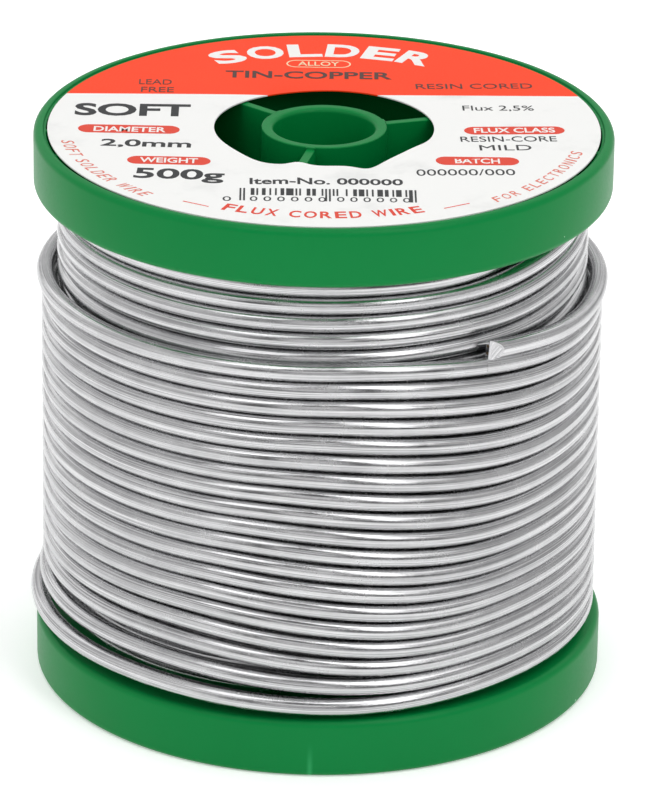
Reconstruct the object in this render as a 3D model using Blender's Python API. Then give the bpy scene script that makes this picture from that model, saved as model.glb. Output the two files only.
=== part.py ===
"""Solder wire spool: a moulded flanged spool, its paper label and a winding of flux-cored wire.

The spool stands on its lower rim. The origin is the centre of that rim on the spool's axis, +Z is up
and -Y is the side where the wire's cut end lies. Sizes are in millimetres; mm() makes them metres.
"""

import math

import bmesh
import bpy
from mathutils import Matrix, Vector

# ---- driving dimensions, in millimetres ---------------------------------------------------------

SPOOL_DIAMETER = 63.0
SPOOL_HEIGHT = 63.0
WINDING_WIDTH = 50.0
WEB_THICKNESS = 1.5
RIM_WALL = 1.1
RIM_ROUND = 0.75
RIM_LEDGE = 0.3
BORE_DIAMETER = 11.0
BORE_ROUND = 0.5
HUB_WALL = 1.3
HUB_FOOT_LEDGE = 0.15
BARREL_DIAMETER = 36.4
BARREL_WALL = 1.5

HUB_RIBS = 3
HUB_RIB = 1.0
FIRST_HUB_RIB_DEG = 18.0
FLANGE_RIBS = 24
FLANGE_RIB = 0.8
FIRST_FLANGE_RIB_DEG = 3.0

LABEL_DIAMETER = 59.9
LABEL_HOLE = 23.8
LABEL_THICKNESS = 0.2
LABEL_RECESS = 0.05
LABEL_SHIFT = 0.2

WIRE_DIAMETER = 2.0
TURN_PITCH = 2.05
LAYERS = 7
OUTER_LAYER_RADIUS = 29.8
BOTTOM_TURN_RADIUS = 30.75
BOTTOM_TURN_SHIFT = 0.45
BOTTOM_TURN_LIFT = 0.2
BOTTOM_TURN_SWEEP_DEG = 350.0
TOP_TURN_RADIUS = 30.1
TOP_TURN_SWEEP_DEG = 337.0
CUT_HEIGHT = 47.1
CUT_DEG = -54.5
FREE_END_DEG = 22.0
CHISEL_LENGTH = 1.3
CHISEL_FLATTENING = 0.45

FLUX_CORES = 2
FLUX_CORE_DIAMETER = 0.34
FLUX_BORE_DIAMETER = 0.5
FLUX_CORE_LENGTH = 2.6
FLUX_BORE_LENGTH = 3.0
FLUX_SPACING = 0.8

GAP = 0.3
LABEL_GAP = 0.25
TURNED_STEPS = 72
WINDING_STEPS = 48
WIRE_SIDES = 8
FLUX_SIDES = 8

# ---- derived dimensions --------------------------------------------------------------------------

SPOOL_RADIUS = SPOOL_DIAMETER / 2
RIM_INNER = SPOOL_RADIUS - RIM_WALL
FLANGE_HEIGHT = (SPOOL_HEIGHT - WINDING_WIDTH) / 2
WINDING_LOW = FLANGE_HEIGHT
WINDING_HIGH = SPOOL_HEIGHT - FLANGE_HEIGHT
BORE_RADIUS = BORE_DIAMETER / 2
HUB_RADIUS = BORE_RADIUS + HUB_WALL
BARREL_RADIUS = BARREL_DIAMETER / 2
BARREL_INNER = BARREL_RADIUS - BARREL_WALL
LABEL_TOP = SPOOL_HEIGHT - LABEL_RECESS
LABEL_BOTTOM = LABEL_TOP - LABEL_THICKNESS
LABEL_SEAT = LABEL_BOTTOM - LABEL_GAP
WIRE_RADIUS = WIRE_DIAMETER / 2
FIRST_LAYER_RADIUS = BARREL_RADIUS + WIRE_RADIUS
LAYER_STEP = (OUTER_LAYER_RADIUS - FIRST_LAYER_RADIUS) / (LAYERS - 1)
BOTTOM_TURN_LOW = WINDING_LOW + WIRE_RADIUS + BOTTOM_TURN_LIFT
FREE_END_START_DEG = CUT_DEG + FREE_END_DEG
CHISEL_DEG = math.degrees(CHISEL_LENGTH / TOP_TURN_RADIUS)

# ---- materials: name, colour, roughness, metallic -------------------------------------------------

GREEN_PLASTIC = ("green_polystyrene", (0.015, 0.235, 0.063), 0.38, 0.0)
LABEL_PAPER = ("label_paper", (0.84, 0.83, 0.81), 0.5, 0.0)
SOLDER = ("tin_copper_solder", (0.72, 0.71, 0.70), 0.32, 1.0)
FLUX = ("flux_resin", (0.16, 0.09, 0.03), 0.4, 0.0)


def mm(value):
    """Turns millimetres into metres."""
    return value * 0.001


def ring_point(radius, angle_deg, height):
    """A point in metres at a radius, an angle and a height in millimetres."""
    angle = math.radians(angle_deg)
    return Vector((mm(radius) * math.cos(angle), mm(radius) * math.sin(angle), mm(height)))


def make_material(finish):
    """A Principled material from a row of the materials above, made once."""
    name, colour, roughness, metallic = finish
    material = bpy.data.materials.get(name)
    if material is None:
        material = bpy.data.materials.new(name)
        material.use_nodes = True
        shader = material.node_tree.nodes["Principled BSDF"]
        shader.inputs["Base Color"].default_value = (*colour, 1.0)
        shader.inputs["Roughness"].default_value = roughness
        shader.inputs["Metallic"].default_value = metallic
        material.diffuse_color = (*colour, 1.0)
    return material


def add_object(name, bm, finish=None):
    """Makes an object from a bmesh, with faces pointing out and round sides shaded smooth."""
    bmesh.ops.recalc_face_normals(bm, faces=bm.faces)
    mesh = bpy.data.meshes.new(name)
    bm.to_mesh(mesh)
    bm.free()
    mesh.shade_smooth()
    mesh.set_sharp_from_angle(angle=math.radians(35.0))
    if finish is not None:
        mesh.materials.append(make_material(finish))
    piece = bpy.data.objects.new(name, mesh)
    bpy.context.scene.collection.objects.link(piece)
    return piece


def cut(piece, name, bm):
    """Cuts the solid in a bmesh out of a piece with a Boolean modifier and a hidden cutter."""
    cutter = add_object(name, bm)
    cutter.hide_render = True
    cutter.display_type = "WIRE"
    modifier = piece.modifiers.new(name, "BOOLEAN")
    modifier.operation = "DIFFERENCE"
    modifier.solver = "EXACT"
    modifier.object = cutter


def turned(outline, steps):
    """Turns a closed outline of (radius, height) points, clear of the axis, once around Z."""
    bm = bmesh.new()
    corners = [bm.verts.new((mm(radius), 0.0, mm(height))) for radius, height in outline]
    edges = [bm.edges.new((corners[i - 1], corners[i])) for i in range(len(corners))]
    bmesh.ops.spin(
        bm,
        geom=corners + edges,
        cent=(0.0, 0.0, 0.0),
        axis=(0.0, 0.0, 1.0),
        angle=2 * math.pi,
        steps=steps,
        use_merge=True,
    )
    bmesh.ops.remove_doubles(bm, verts=bm.verts, dist=mm(0.005))
    return bm


def rounded_corner(centre_radius, centre_height, radius, start_deg, end_deg, steps=2):
    """Points on a rounded corner of a turned outline, from one angle to the other."""
    points = []
    for i in range(steps + 1):
        angle = math.radians(start_deg + (end_deg - start_deg) * i / steps)
        points.append((centre_radius + radius * math.cos(angle), centre_height + radius * math.sin(angle)))
    return points


def spool_outline():
    """The spool's turned section before its pockets are cut: the upper half and its mirror image."""
    edge = SPOOL_RADIUS - RIM_ROUND
    upper = rounded_corner(BORE_RADIUS + BORE_ROUND, SPOOL_HEIGHT - BORE_ROUND, BORE_ROUND, 180, 90)
    upper += [(HUB_RADIUS, SPOOL_HEIGHT), (HUB_RADIUS, LABEL_SEAT)]
    upper += [(RIM_INNER, LABEL_SEAT), (RIM_INNER, SPOOL_HEIGHT)]
    upper += rounded_corner(edge, SPOOL_HEIGHT - RIM_ROUND, RIM_ROUND, 90, 0)
    upper += rounded_corner(edge, WINDING_HIGH + RIM_ROUND, RIM_ROUND, 0, -90)
    upper += [(BARREL_RADIUS, WINDING_HIGH)]
    lower = [(radius, SPOOL_HEIGHT - height) for radius, height in reversed(upper)]
    return upper + lower


def add_pocket(bm, inner, outer, start_deg, end_deg, rib, low, high, steps):
    """Adds a closed pocket that fills the space between two ribs of even thickness.

    start_deg and end_deg are the ribs' centre lines, and the two ends are arcs about the Z axis.
    """
    def arc(radius):
        half_rib_deg = math.degrees(math.asin(0.5 * rib / radius))
        first, last = start_deg + half_rib_deg, end_deg - half_rib_deg
        return [ring_point(radius, first + (last - first) * i / steps, low) for i in range(steps + 1)]

    outline = arc(outer) + list(reversed(arc(inner)))
    floor = bm.faces.new([bm.verts.new(point) for point in outline])
    lifted = bmesh.ops.extrude_face_region(bm, geom=[floor])["geom"]
    moved = [item for item in lifted if isinstance(item, bmesh.types.BMVert)]
    bmesh.ops.translate(bm, vec=(0.0, 0.0, mm(high - low)), verts=moved)


def hub_pockets():
    """The three deep pockets between the hub tube and the barrel, which run right through."""
    bm = bmesh.new()
    span = 360.0 / HUB_RIBS
    for i in range(HUB_RIBS):
        start = FIRST_HUB_RIB_DEG + i * span
        add_pocket(bm, HUB_RADIUS + HUB_FOOT_LEDGE, BARREL_INNER, start, start + span, HUB_RIB,
                   -WEB_THICKNESS, SPOOL_HEIGHT + WEB_THICKNESS, 20)
    return bm


def flange_pockets():
    """The shallow pockets between the ribs on each flange's outer side."""
    bm = bmesh.new()
    span = 360.0 / FLANGE_RIBS
    depth_top = WINDING_HIGH + WEB_THICKNESS
    for i in range(FLANGE_RIBS):
        start = FIRST_FLANGE_RIB_DEG + i * span
        for low, high in ((depth_top, SPOOL_HEIGHT), (0.0, SPOOL_HEIGHT - depth_top)):
            add_pocket(bm, BARREL_RADIUS, RIM_INNER - RIM_LEDGE, start, start + span, FLANGE_RIB,
                       low, high, 3)
    return bm


def build_spool():
    """The moulded spool: hub tube, barrel, both flanges with their rims, and all their ribs."""
    spool = add_object("spool_body", turned(spool_outline(), TURNED_STEPS), GREEN_PLASTIC)
    cut(spool, "hub_pockets", hub_pockets())
    cut(spool, "flange_pockets", flange_pockets())


def build_label():
    """The ring-shaped paper label, which lies on the upper flange's ribs, a little off centre."""
    outline = [
        (LABEL_HOLE / 2, LABEL_BOTTOM),
        (LABEL_DIAMETER / 2, LABEL_BOTTOM),
        (LABEL_DIAMETER / 2, LABEL_TOP),
        (LABEL_HOLE / 2, LABEL_TOP),
    ]
    bm = turned(outline, TURNED_STEPS)
    bmesh.ops.translate(bm, vec=(0.0, -mm(LABEL_SHIFT), 0.0), verts=bm.verts)
    add_object("top_label", bm, LABEL_PAPER)


def bottom_turn_top():
    """The highest point of the lowest outer turn."""
    return BOTTOM_TURN_LOW + TURN_PITCH * BOTTOM_TURN_SWEEP_DEG / 360.0 + WIRE_RADIUS


def top_turn_bottom():
    """The lowest point of the highest outer turn."""
    return CUT_HEIGHT - TURN_PITCH - WIRE_RADIUS


def build_winding_layers():
    """Each layer of closely wound wire, as a sleeve of the space that its turns fill."""
    half_sleeve = 0.5 * (LAYER_STEP - GAP)
    for i in range(LAYERS):
        middle = FIRST_LAYER_RADIUS + i * LAYER_STEP
        inner, outer = middle - half_sleeve, middle + half_sleeve
        low, high = WINDING_LOW + GAP, WINDING_HIGH - GAP
        if i == LAYERS - 1:
            outer = middle + WIRE_RADIUS
            low, high = bottom_turn_top() + GAP, top_turn_bottom() - GAP
        outline = [(inner, low), (outer, low), (outer, high), (inner, high)]
        add_object(f"wire_layer_{i + 1}", turned(outline, WINDING_STEPS), SOLDER)


def wound_turn(radius, shift_x, start_deg, sweep_deg, start_height, rise):
    """One stretch of round wire wound about a vertical axis at x = shift_x, with closed ends.

    Args are in millimetres and degrees; a negative sweep winds clockwise seen from above. Returns
    the bmesh and its last face, the wire's end.
    """
    bm = bmesh.new()
    steps = max(2, round(abs(sweep_deg) / 360.0 * WINDING_STEPS))
    place = Matrix.Translation((mm(shift_x), 0.0, 0.0)) @ Matrix.Rotation(math.radians(start_deg), 4, "Z")
    upright = Matrix.Translation((mm(radius), 0.0, mm(start_height))) @ Matrix.Rotation(math.pi / 2, 4, "X")
    bmesh.ops.create_circle(bm, cap_ends=True, segments=WIRE_SIDES, radius=mm(WIRE_RADIUS),
                            matrix=place @ upright)
    swept = bmesh.ops.spin(
        bm,
        geom=bm.verts[:] + bm.edges[:] + bm.faces[:],
        cent=(mm(shift_x), 0.0, 0.0),
        axis=(0.0, 0.0, 1.0),
        dvec=(0.0, 0.0, mm(rise) / steps),
        angle=math.radians(sweep_deg),
        steps=steps,
    )
    end_face = next(item for item in swept["geom_last"] if isinstance(item, bmesh.types.BMFace))
    return bm, end_face


def build_bottom_turn():
    """The lowest outer turn, which bulges past the lower flange's edge on the -X side."""
    bm, _ = wound_turn(BOTTOM_TURN_RADIUS, -BOTTOM_TURN_SHIFT, 0.0, -BOTTOM_TURN_SWEEP_DEG,
                       BOTTOM_TURN_LOW, TURN_PITCH * BOTTOM_TURN_SWEEP_DEG / 360.0)
    add_object("wire_bottom_turn", bm, SOLDER)


def build_top_turn():
    """The highest outer turn, which lies loosely around the layer below and ends at the free end."""
    drop = TURN_PITCH * TOP_TURN_SWEEP_DEG / 360.0
    start_height = CUT_HEIGHT - TURN_PITCH * FREE_END_DEG / 360.0
    bm, _ = wound_turn(TOP_TURN_RADIUS, 0.0, FREE_END_START_DEG, TOP_TURN_SWEEP_DEG, start_height, -drop)
    add_object("wire_top_turn", bm, SOLDER)


def cut_end_frame():
    """The matrix of the wire's cut end: +X out of the wire's tip, +Y away from the spool's axis."""
    radial = Vector((math.cos(math.radians(CUT_DEG)), math.sin(math.radians(CUT_DEG)), 0.0))
    along = Vector((radial.y, -radial.x, 0.0))
    turn = Matrix((along, radial, along.cross(radial))).transposed().to_4x4()
    return Matrix.Translation(ring_point(TOP_TURN_RADIUS, CUT_DEG, CUT_HEIGHT)) @ turn


def flux_rods(index, diameter, length, beyond):
    """A bmesh of one round rod of flux, which starts beyond the cut end and runs into the wire."""
    bm = bmesh.new()
    height = FLUX_SPACING * (index - 0.5 * (FLUX_CORES - 1))
    middle = Matrix.Translation((mm(beyond - 0.5 * (length + beyond)), 0.0, mm(height)))
    place = cut_end_frame() @ middle @ Matrix.Rotation(math.pi / 2, 4, "Y")
    bmesh.ops.create_cone(bm, cap_ends=True, segments=FLUX_SIDES, radius1=mm(diameter / 2),
                          radius2=mm(diameter / 2), depth=mm(length + beyond), matrix=place)
    return bm


def build_free_end():
    """The wire's last stretch, pinched to a chisel by the cutters, with the bores of its flux cores."""
    gap_deg = math.degrees(GAP / TOP_TURN_RADIUS)
    start_deg = FREE_END_START_DEG - gap_deg
    sweep = start_deg - CUT_DEG - CHISEL_DEG
    rise = TURN_PITCH * (FREE_END_DEG - CHISEL_DEG) / 360.0
    start_height = CUT_HEIGHT - TURN_PITCH * FREE_END_DEG / 360.0
    bm, end_face = wound_turn(TOP_TURN_RADIUS, 0.0, start_deg, -sweep, start_height, rise)
    tip = bmesh.ops.extrude_face_region(bm, geom=[end_face])["geom"]
    tip_verts = [item for item in tip if isinstance(item, bmesh.types.BMVert)]
    frame = cut_end_frame()
    middle = sum((vert.co for vert in tip_verts), Vector()) / len(tip_verts)
    bmesh.ops.translate(bm, vec=frame.translation - middle, verts=tip_verts)
    bmesh.ops.scale(bm, vec=(0.0, CHISEL_FLATTENING, 1.0), space=frame.inverted(), verts=tip_verts)
    if end_face.is_valid:
        bmesh.ops.delete(bm, geom=[end_face], context="FACES_ONLY")
    free_end = add_object("wire_free_end", bm, SOLDER)
    for i in range(FLUX_CORES):
        cut(free_end, f"flux_bore_{i + 1}", flux_rods(i, FLUX_BORE_DIAMETER, FLUX_BORE_LENGTH, GAP))
        add_object(f"flux_core_{i + 1}", flux_rods(i, FLUX_CORE_DIAMETER, FLUX_CORE_LENGTH, 0.0), FLUX)


def main():
    """Clears the scene and builds every piece."""
    for old in list(bpy.data.objects):
        bpy.data.objects.remove(old)
    build_spool()
    build_label()
    build_winding_layers()
    build_bottom_turn()
    build_top_turn()
    build_free_end()


main()
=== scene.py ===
"""Looks of a solder wire spool: a moulded green spool, its printed paper label and its wound wire.

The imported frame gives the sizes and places. Lengths in this script are in millimetres and angles in
degrees round the spool's axis, where -90 is the front; mm() turns a length to metres. The wire is one
continuous length: seven layers wound clockwise from the barrel outwards, with its free end on top.
"""

import logging
import math
from dataclasses import dataclass, field
from enum import Enum
from typing import Callable, Iterable, Sequence

import bmesh
import bpy
from mathutils import Matrix, Vector


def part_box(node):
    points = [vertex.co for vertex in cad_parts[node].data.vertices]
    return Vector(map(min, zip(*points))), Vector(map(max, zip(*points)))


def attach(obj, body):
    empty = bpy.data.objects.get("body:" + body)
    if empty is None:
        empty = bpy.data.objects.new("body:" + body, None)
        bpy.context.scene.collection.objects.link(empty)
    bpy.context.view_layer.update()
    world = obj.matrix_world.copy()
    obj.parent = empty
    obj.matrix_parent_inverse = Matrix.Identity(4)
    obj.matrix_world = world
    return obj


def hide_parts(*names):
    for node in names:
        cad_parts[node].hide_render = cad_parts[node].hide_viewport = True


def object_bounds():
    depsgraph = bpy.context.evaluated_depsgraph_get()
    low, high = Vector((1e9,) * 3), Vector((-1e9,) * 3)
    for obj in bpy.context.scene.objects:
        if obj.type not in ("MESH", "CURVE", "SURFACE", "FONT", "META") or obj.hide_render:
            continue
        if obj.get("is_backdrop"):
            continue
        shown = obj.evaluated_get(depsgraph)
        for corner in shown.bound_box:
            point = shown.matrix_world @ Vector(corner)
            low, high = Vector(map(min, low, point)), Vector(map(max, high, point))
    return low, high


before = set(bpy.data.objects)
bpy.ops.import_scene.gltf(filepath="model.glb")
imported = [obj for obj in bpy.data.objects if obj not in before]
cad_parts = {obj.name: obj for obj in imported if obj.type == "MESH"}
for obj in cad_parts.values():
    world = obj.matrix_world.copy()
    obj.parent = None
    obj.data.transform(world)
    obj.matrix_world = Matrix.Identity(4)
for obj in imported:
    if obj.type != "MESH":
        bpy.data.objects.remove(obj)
CAD_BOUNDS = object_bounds()
LOG = logging.getLogger("solder_spool")

# Settings of the mix nodes and range nodes that the finishes share.
COLOURS = {"data_type": "RGBA"}
SOFT = {"interpolation_type": "SMOOTHSTEP"}

# Points nearer to each other than this, in millimetres, become one.
MERGE_MM = 0.002


# ---- helpers -------------------------------------------------------------------------------------


def mm(value: float) -> float:
    """Turns millimetres into metres."""
    return value * 0.001


def smoothstep(value: float) -> float:
    """Eases from 0 to 1 as the value goes from 0 to 1, and stays there outside."""
    clipped = min(1.0, max(0.0, value))
    return clipped * clipped * (3.0 - 2.0 * clipped)


def bell(value: float, centre: float, width: float) -> float:
    """A smooth bump of height 1 at the centre that fades over the width."""
    return math.exp(-((value - centre) / width) ** 2)


def ring_point(radius: float, angle_deg: float, height: float) -> Vector:
    """A point in metres at a radius, an angle and a height in millimetres."""
    angle = math.radians(angle_deg)
    return Vector((mm(radius) * math.cos(angle), mm(radius) * math.sin(angle), mm(height)))


def linear(hex_colour: str) -> tuple[float, float, float, float]:
    """Turns an sRGB colour such as "1c8a47" into the linear colour that a shader takes."""
    channels = [int(hex_colour[i : i + 2], 16) / 255.0 for i in (0, 2, 4)]
    bent = [c / 12.92 if c <= 0.04045 else ((c + 0.055) / 1.055) ** 2.4 for c in channels]
    return bent[0], bent[1], bent[2], 1.0


def add_node(
    tree: bpy.types.NodeTree,
    kind: str,
    settings: dict[str, object] | None = None,
    inputs: dict[str | int, object] | None = None,
) -> bpy.types.Node:
    """Adds one shader node.

    Args:
        tree: the material's node tree.
        kind: the node's type, such as "ShaderNodeMix".
        settings: properties of the node.
        inputs: for each input socket, a value or the output socket that is linked to it.

    Returns:
        The new node.
    """
    node = tree.nodes.new(kind)
    for name, value in (settings or {}).items():
        setattr(node, name, value)
    for socket, value in (inputs or {}).items():
        if isinstance(value, bpy.types.NodeSocket):
            tree.links.new(value, node.inputs[socket])
        else:
            node.inputs[socket].default_value = value
    return node


def new_material(name: str) -> tuple[bpy.types.Material, bpy.types.NodeTree, bpy.types.Node]:
    """Makes a material and returns it with its node tree and its Principled shader."""
    material = bpy.data.materials.new(name)
    material.use_nodes = True
    tree = material.node_tree
    return material, tree, tree.nodes["Principled BSDF"]


def bmesh_of(mesh: bpy.types.Mesh) -> bmesh.types.BMesh:
    """Opens a mesh for editing."""
    bm = bmesh.new()
    bm.from_mesh(mesh)
    return bm


def turned(outline: Sequence[tuple[float, float]], steps: int) -> bmesh.types.BMesh:
    """Turns a closed outline once around Z.

    Args:
        outline: (radius, height) points in millimetres, clear of the axis.
        steps: segments of the full turn.

    Returns:
        The closed ring.
    """
    bm = bmesh.new()
    corners = [bm.verts.new((mm(radius), 0.0, mm(height))) for radius, height in outline]
    edges = [bm.edges.new((corners[i - 1], corners[i])) for i in range(len(corners))]
    bmesh.ops.spin(
        bm,
        geom=corners + edges,
        cent=(0.0, 0.0, 0.0),
        axis=(0.0, 0.0, 1.0),
        angle=2 * math.pi,
        steps=steps,
        use_merge=True,
    )
    bmesh.ops.remove_doubles(bm, verts=bm.verts, dist=mm(MERGE_MM))
    bmesh.ops.recalc_face_normals(bm, faces=bm.faces)
    return bm


def rounded_corner(
    centre: tuple[float, float], radius: float, start_deg: float, end_deg: float, steps: int = 6
) -> list[tuple[float, float]]:
    """Rounds a corner of a turned outline.

    Args:
        centre: the middle of the round, as (radius, height).
        radius: the round's own radius.
        start_deg: the angle where it starts.
        end_deg: the angle where it ends.
        steps: its segments.

    Returns:
        The points from the start to the end.
    """
    points = []
    for i in range(steps + 1):
        angle = math.radians(start_deg + (end_deg - start_deg) * i / steps)
        points.append((centre[0] + radius * math.cos(angle), centre[1] + radius * math.sin(angle)))
    return points


def finished_mesh(piece: bpy.types.Object) -> bpy.types.Mesh:
    """The piece's mesh with its modifiers applied, as a new mesh."""
    graph = bpy.context.evaluated_depsgraph_get()
    return bpy.data.meshes.new_from_object(piece.evaluated_get(graph), depsgraph=graph)


def link(name: str, data: bpy.types.ID) -> bpy.types.Object:
    """Makes an object at the origin from a mesh or a curve and puts it in the scene."""
    piece = bpy.data.objects.new(name, data)
    bpy.context.scene.collection.objects.link(piece)
    return piece


def cut_away(piece: bpy.types.Object, cutters: Sequence[bpy.types.Object]) -> bpy.types.Mesh:
    """Cuts shapes out of a piece.

    Args:
        piece: the piece to cut, which keeps its own mesh.
        cutters: the shapes to take away; they are deleted afterwards.

    Returns:
        The cut mesh.
    """
    for cutter in cutters:
        modifier = piece.modifiers.new(cutter.name, "BOOLEAN")
        modifier.operation = "DIFFERENCE"
        modifier.solver = "EXACT"
        modifier.object = cutter
    cut = finished_mesh(piece)
    piece.modifiers.clear()
    for cutter in cutters:
        bpy.data.objects.remove(cutter)
    return cut


def mesh_from(name: str, bm: bmesh.types.BMesh, sharp_deg: float = 35.0) -> bpy.types.Mesh:
    """Writes a bmesh to a new mesh with round sides shaded smooth, and frees the bmesh."""
    mesh = bpy.data.meshes.new(name)
    bm.to_mesh(mesh)
    bm.free()
    mesh.shade_smooth()
    mesh.set_sharp_from_angle(angle=math.radians(sharp_deg))
    return mesh


def settle(piece: bpy.types.Object, slot: str, *nodes: str) -> None:
    """Rides a finished piece on the spool, hides the frame's nodes that it stands for and logs them."""
    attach(piece, "root")
    if nodes:
        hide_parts(*nodes)
    LOG.info("%s: %d faces, for %s", piece.name, len(piece.data.polygons), ", ".join(nodes) or "detail")


# ---- sizes that the frame gives --------------------------------------------------------------------


@dataclass(frozen=True)
class FrameSizes:
    """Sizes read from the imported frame, in millimetres."""

    spool_radius: float
    spool_height: float
    winding_high: float
    label_radius: float
    layer_radii: tuple[float, ...]
    wire_radius: float

    @classmethod
    def read(cls) -> "FrameSizes":
        """Reads the sizes from the boxes of the frame's nodes."""
        sleeve_gap = 0.3
        wire_allowance = 0.015
        _, spool_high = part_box("spool_body")
        label_low, label_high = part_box("top_label")
        sleeves = [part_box(f"wire_layer_{i}") for i in range(1, 8)]
        outer_radii = [high.x * 1000.0 for _, high in sleeves]
        step = outer_radii[1] - outer_radii[0]
        radii = [outer - 0.5 * (step - sleeve_gap) for outer in outer_radii[:6]]
        radii.append(radii[5] + step)
        return cls(
            spool_radius=spool_high.x * 1000.0,
            spool_height=spool_high.z * 1000.0,
            winding_high=sleeves[0][1].z * 1000.0 + sleeve_gap,
            label_radius=(label_high.x - label_low.x) * 500.0,
            layer_radii=tuple(radii),
            wire_radius=outer_radii[6] - radii[6] - wire_allowance,
        )


SIZES = FrameSizes.read()


# ---- finishes --------------------------------------------------------------------------------------


@dataclass(frozen=True)
class Grain:
    """The fine grain of a surface, which varies its gloss and breaks its highlights."""

    size_mm: float
    detail: float
    roughness: tuple[float, float]
    strength: float
    depth_mm: float

    def apply(
        self, tree: bpy.types.NodeTree, shader: bpy.types.Node, place: bpy.types.NodeSocket
    ) -> None:
        """Gives the grain to a finish.

        Args:
            tree: the material's node tree.
            shader: its Principled shader.
            place: the socket that gives a point's place on the piece.
        """
        scale = 1000.0 / self.size_mm
        noise = add_node(
            tree, "ShaderNodeTexNoise", inputs={"Vector": place, "Scale": scale, "Detail": self.detail}
        )
        low, high = self.roughness
        rough = add_node(
            tree, "ShaderNodeMapRange", inputs={"Value": noise.outputs[0], "To Min": low, "To Max": high}
        )
        tree.links.new(rough.outputs[0], shader.inputs["Roughness"])
        relief = {"Strength": self.strength, "Distance": mm(self.depth_mm), "Height": noise.outputs[0]}
        bump = add_node(tree, "ShaderNodeBump", inputs=relief)
        tree.links.new(bump.outputs[0], shader.inputs["Normal"])


def clouded(
    tree: bpy.types.NodeTree,
    place: bpy.types.NodeSocket,
    size_mm: float,
    first: tuple[float, ...],
    second: tuple[float, ...],
) -> bpy.types.NodeSocket:
    """Makes a colour that wanders between two colours in soft clouds.

    Args:
        tree: the material's node tree.
        place: the socket that gives a point's place on the piece.
        size_mm: the clouds' size.
        first: the colour where the clouds are thin.
        second: the colour where they are thick.

    Returns:
        The colour's socket.
    """
    inputs = {"Vector": place, "Scale": 1000.0 / size_mm, "Detail": 2.0}
    cloud = add_node(tree, "ShaderNodeTexNoise", inputs=inputs)
    return add_node(tree, "ShaderNodeMix", COLOURS, {0: cloud.outputs[0], 6: first, 7: second}).outputs[2]


@dataclass(frozen=True)
class MouldedPolystyrene:
    """Green polystyrene from a satin steel mould.

    Satin gloss with a fine grain; a faint lighter upright streak low on the front of the lower rim is a
    painted highlight, and a few pale specks of dust cling to it.
    """

    colour: str = "00823e"
    deep_colour: str = "007b39"
    speck_colour: str = "9fd6b0"
    # Colour of the painted highlight streak low on the front of the lower rim.
    highlight_streak_colour: str = "2fa05f"
    gloss: float = 0.13
    grain: Grain = Grain(0.35, 3.0, (0.31, 0.43), 0.12, 0.02)
    mottle_mm: float = 14.0
    speck_mm: float = 2.6
    speck_radius: float = 0.05
    speck_rarity: float = 0.8
    # Where the painted highlight streak lies, how wide it is and how strongly it shows.
    highlight_streak_deg: float = -91.2
    highlight_streak_mm: float = 0.45
    highlight_streak_strength: float = 0.75
    highlight_streak_rise_mm: tuple[float, float] = (0.8, 4.4)
    highlight_streak_front_mm: float = -25.0

    def material(self) -> bpy.types.Material:
        """Builds the plastic's material."""
        material, tree, shader = new_material("moulded_green_polystyrene")
        place = add_node(tree, "ShaderNodeTexCoord").outputs["Object"]
        body = clouded(tree, place, self.mottle_mm, linear(self.deep_colour), linear(self.colour))
        # Paints the lighter highlight streak into the body colour.
        highlight_painted = add_node(
            tree,
            "ShaderNodeMix",
            COLOURS,
            {0: self.painted_highlight_streak(tree, place), 6: body, 7: linear(self.highlight_streak_colour)},
        )
        specks = add_node(
            tree,
            "ShaderNodeTexVoronoi",
            {"feature": "F1"},
            {"Vector": place, "Scale": 1000.0 / self.speck_mm, "Randomness": 1.0},
        )
        near = add_node(
            tree,
            "ShaderNodeMath",
            {"operation": "LESS_THAN"},
            {0: specks.outputs["Distance"], 1: self.speck_radius},
        )
        chosen = add_node(tree, "ShaderNodeSeparateColor", inputs={"Color": specks.outputs["Color"]})
        rare = add_node(
            tree,
            "ShaderNodeMath",
            {"operation": "GREATER_THAN"},
            {0: chosen.outputs[0], 1: self.speck_rarity},
        )
        speck = add_node(
            tree, "ShaderNodeMath", {"operation": "MULTIPLY"}, {0: near.outputs[0], 1: rare.outputs[0]}
        )
        speckled = add_node(
            tree,
            "ShaderNodeMix",
            COLOURS,
            {0: speck.outputs[0], 6: highlight_painted.outputs[2], 7: linear(self.speck_colour)},
        )
        tree.links.new(speckled.outputs[2], shader.inputs["Base Color"])
        self.grain.apply(tree, shader, place)
        shader.inputs["Specular IOR Level"].default_value = self.gloss
        return material

    def painted_highlight_streak(self, tree: bpy.types.NodeTree, place: bpy.types.NodeSocket) -> bpy.types.NodeSocket:
        """Shapes the painted highlight: a soft upright light streak low on the front of the lower rim.

        Args:
            tree: the material's node tree.
            place: the socket that gives a point's place on the spool.

        Returns:
            The socket that says how strongly the painted highlight shows, from 0 to its strength.
        """
        across = mm(SIZES.spool_radius) * math.cos(math.radians(self.highlight_streak_deg))
        axes = add_node(tree, "ShaderNodeSeparateXYZ", inputs={0: place})
        offset = add_node(
            tree, "ShaderNodeMath", {"operation": "SUBTRACT"}, {0: axes.outputs[0], 1: across}
        )
        distance = add_node(tree, "ShaderNodeMath", {"operation": "ABSOLUTE"}, {0: offset.outputs[0]})
        streak = add_node(
            tree,
            "ShaderNodeMapRange",
            SOFT,
            {
                "Value": distance.outputs[0],
                "From Min": 0.0,
                "From Max": mm(self.highlight_streak_mm),
                "To Min": self.highlight_streak_strength,
                "To Max": 0.0,
            },
        )
        low = add_node(
            tree,
            "ShaderNodeMapRange",
            SOFT,
            {
                "Value": axes.outputs[2],
                "From Min": mm(self.highlight_streak_rise_mm[0]),
                "From Max": mm(self.highlight_streak_rise_mm[1]),
                "To Min": 1.0,
                "To Max": 0.0,
            },
        )
        shown = add_node(
            tree,
            "ShaderNodeMath",
            {"operation": "LESS_THAN"},
            {0: axes.outputs[1], 1: mm(self.highlight_streak_front_mm)},
        )
        for limit in (streak, low):
            both = {0: shown.outputs[0], 1: limit.outputs[0]}
            shown = add_node(tree, "ShaderNodeMath", {"operation": "MULTIPLY"}, both)
        return shown.outputs[0]


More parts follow.
